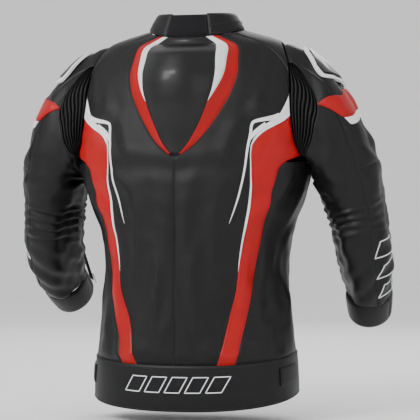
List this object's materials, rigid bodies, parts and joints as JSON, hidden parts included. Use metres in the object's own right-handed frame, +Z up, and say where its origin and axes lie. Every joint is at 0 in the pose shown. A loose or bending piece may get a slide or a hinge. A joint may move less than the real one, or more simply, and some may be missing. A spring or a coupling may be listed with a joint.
{
  "type": "riding jacket",
  "caption": "Padded leather riding jacket with an aero hump, stretch joints, stand collar, front zip and a waistband, hung by its neck loop.",
  "frame": {"origin": "under the crown of the loop inside the back of the neck, where a hook or peg carries the jacket", "axes": "+Z up along the hanging jacket, +Y toward the wearer's front where the zip is, +X toward the wearer's right"},
  "size_m": [0.6964, 0.3308, 0.702],
  "materials": {
    "leather": "semi-gloss grained",
    "red": "semi-gloss grained, with white edging",
    "mesh": "perforated",
    "stretch": "ribbed stretch",
    "neoprene": "matte knit face",
    "armour": "gloss",
    "foam": "matte",
    "tape": "woven",
    "metal": "satin",
    "webbing": "woven"
  },
  "bodies": {
    "torso": {"back_hump": "leather", "waistband_back": "leather", "collar_back": "neoprene", "hump_stripe_right": "red", "hump_stripe_left": "red", "back_panel_right": "mesh", "back_panel_left": "mesh", "side_stripe_right": "red", "side_stripe_left": "red", "side_panel_right": "leather", "side_panel_left": "leather", "front_fold_right": "leather", "front_fold_left": "leather", "shoulder_yoke_right": "leather", "shoulder_yoke_left": "leather", "collar_side_right": "leather", "collar_side_left": "leather", "shoulder_stretch_right": "stretch", "shoulder_stretch_left": "stretch", "back_protector": "foam", "hanger_loop": "webbing", "trouser_zip": "tape"},
    "front_right": {"front_panel_right": "leather", "waistband_front_right": "leather", "collar_front_right": "leather", "main_zip_right": "tape", "pocket_zip_right": "tape"},
    "front_left": {"front_panel_left": "leather", "waistband_front_left": "leather", "collar_front_left": "leather", "main_zip_left": "tape", "pocket_zip_left": "tape"},
    "main_slider": {"main_slider": "metal"},
    "main_pull": {"main_pull": "metal"},
    "collar_tab": {"collar_tab": "leather"},
    "pocket_slider_right": {"pocket_slider_right": "metal"},
    "pocket_pull_right": {"pocket_pull_right": "metal"},
    "upper_arm_right": {"upper_sleeve_right": "leather", "shoulder_cup_right": "armour", "arm_band_right": "red", "elbow_stretch_right": "stretch"},
    "forearm_right": {"forearm_right": "leather", "cuff_right": "leather", "cuff_zip_right": "tape"},
    "cuff_slider_right": {"cuff_slider_right": "metal"},
    "cuff_pull_right": {"cuff_pull_right": "metal"},
    "waist_tab_right": {"waist_tab_right": "leather"},
    "pocket_slider_left": {"pocket_slider_left": "metal"},
    "pocket_pull_left": {"pocket_pull_left": "metal"},
    "upper_arm_left": {"upper_sleeve_left": "leather", "shoulder_cup_left": "armour", "arm_band_left": "red", "elbow_stretch_left": "stretch"},
    "forearm_left": {"forearm_left": "leather", "cuff_left": "leather", "cuff_zip_left": "tape"},
    "cuff_slider_left": {"cuff_slider_left": "metal"},
    "cuff_pull_left": {"cuff_pull_left": "metal"},
    "waist_tab_left": {"waist_tab_left": "leather"}
  },
  "joints": [
    {"name": "shoulder_right", "type": "hinge", "parent": "torso", "child": "upper_arm_right", "pos_m": [0.19, 0.05, -0.055], "axis": [0.7071, -0.7071, 0], "range_deg": [0, 30], "deforming": ["shoulder_stretch_right"]},
    {"name": "elbow_right", "type": "hinge", "parent": "upper_arm_right", "child": "forearm_right", "pos_m": [0.289, 0.1, -0.3], "axis": [1, 0, 0], "range_deg": [0, 45], "deforming": ["elbow_stretch_right"]},
    {"name": "shoulder_left", "type": "hinge", "parent": "torso", "child": "upper_arm_left", "pos_m": [-0.19, 0.05, -0.055], "axis": [0.7071, 0.7071, 0], "range_deg": [0, 30], "deforming": ["shoulder_stretch_left"]},
    {"name": "elbow_left", "type": "hinge", "parent": "upper_arm_left", "child": "forearm_left", "pos_m": [-0.289, 0.1, -0.3], "axis": [1, 0, 0], "range_deg": [0, 45], "deforming": ["elbow_stretch_left"]},
    {"name": "front_right_open", "type": "hinge", "parent": "torso", "child": "front_right", "pos_m": [0.083, 0.077, 0.027], "axis": [0.1301, 0.0361, -0.9908], "range_deg": [0, 20], "deforming": ["front_fold_right"]},
    {"name": "front_left_open", "type": "hinge", "parent": "torso", "child": "front_left", "pos_m": [-0.083, 0.077, 0.027], "axis": [0.1301, -0.0361, 0.9908], "range_deg": [0, 20], "deforming": ["front_fold_left"]},
    {"name": "main_zip_slide", "type": "slide", "parent": "front_left", "child": "main_slider", "axis": [0, 0.035, -0.9994], "range_m": [0, 0.5]},
    {"name": "main_pull_swing", "type": "hinge", "parent": "main_slider", "child": "main_pull", "pos_m": [0, 0.13564, -0.06031], "axis": [1, 0, 0], "range_deg": [0, 150]},
    {"name": "pocket_slide_right", "type": "slide", "parent": "front_right", "child": "pocket_slider_right", "axis": [0.1558, -0.0302, -0.9873], "range_m": [0, 0.078]},
    {"name": "pocket_pull_swing_right", "type": "hinge", "parent": "pocket_slider_right", "child": "pocket_pull_right", "pos_m": [0.1068, 0.14471, -0.39663], "axis": [0.9108, -0.3825, 0.1554], "range_deg": [0, 120]},
    {"name": "pocket_slide_left", "type": "slide", "parent": "front_left", "child": "pocket_slider_left", "axis": [-0.1558, -0.0302, -0.9873], "range_m": [0, 0.078]},
    {"name": "pocket_pull_swing_left", "type": "hinge", "parent": "pocket_slider_left", "child": "pocket_pull_left", "pos_m": [-0.1068, 0.14471, -0.39663], "axis": [0.9108, 0.3825, -0.1554], "range_deg": [0, 120]},
    {"name": "cuff_slide_right", "type": "slide", "parent": "forearm_right", "child": "cuff_slider_right", "axis": [-0.0061, -0.4789, 0.8778], "range_m": [0, 0.077]},
    {"name": "cuff_pull_swing_right", "type": "hinge", "parent": "cuff_slider_right", "child": "cuff_pull_right", "pos_m": [0.25914, 0.18867, -0.44244], "axis": [0.7783, 0.5489, 0.3049], "range_deg": [0, 100]},
    {"name": "cuff_slide_left", "type": "slide", "parent": "forearm_left", "child": "cuff_slider_left", "axis": [0.0097, -0.6822, 0.7311], "range_m": [0, 0.077]},
    {"name": "cuff_pull_swing_left", "type": "hinge", "parent": "cuff_slider_left", "child": "cuff_pull_left", "pos_m": [-0.25833, 0.215, -0.41482], "axis": [0.7639, -0.4667, -0.4457], "range_deg": [0, 100]},
    {"name": "waist_tab_peel_right", "type": "hinge", "parent": "torso", "child": "waist_tab_right", "pos_m": [0.1724, -0.01193, -0.58583], "axis": [0, 0, -1], "range_deg": [0, 80]},
    {"name": "waist_tab_peel_left", "type": "hinge", "parent": "torso", "child": "waist_tab_left", "pos_m": [-0.1724, -0.01193, -0.58583], "axis": [0, 0, 1], "range_deg": [0, 80]},
    {"name": "collar_tab_peel", "type": "hinge", "parent": "front_left", "child": "collar_tab", "pos_m": [-0.0135, 0.1335, -0.006], "axis": [0, 0, 1], "range_deg": [0, 90]}
  ],
  "couplings": [
    {"joint": "front_left_open", "follows": "front_right_open", "ratio": 1},
    {"joint": "main_zip_slide", "follows": "front_right_open", "m_per_rad": 1.43}
  ]
}
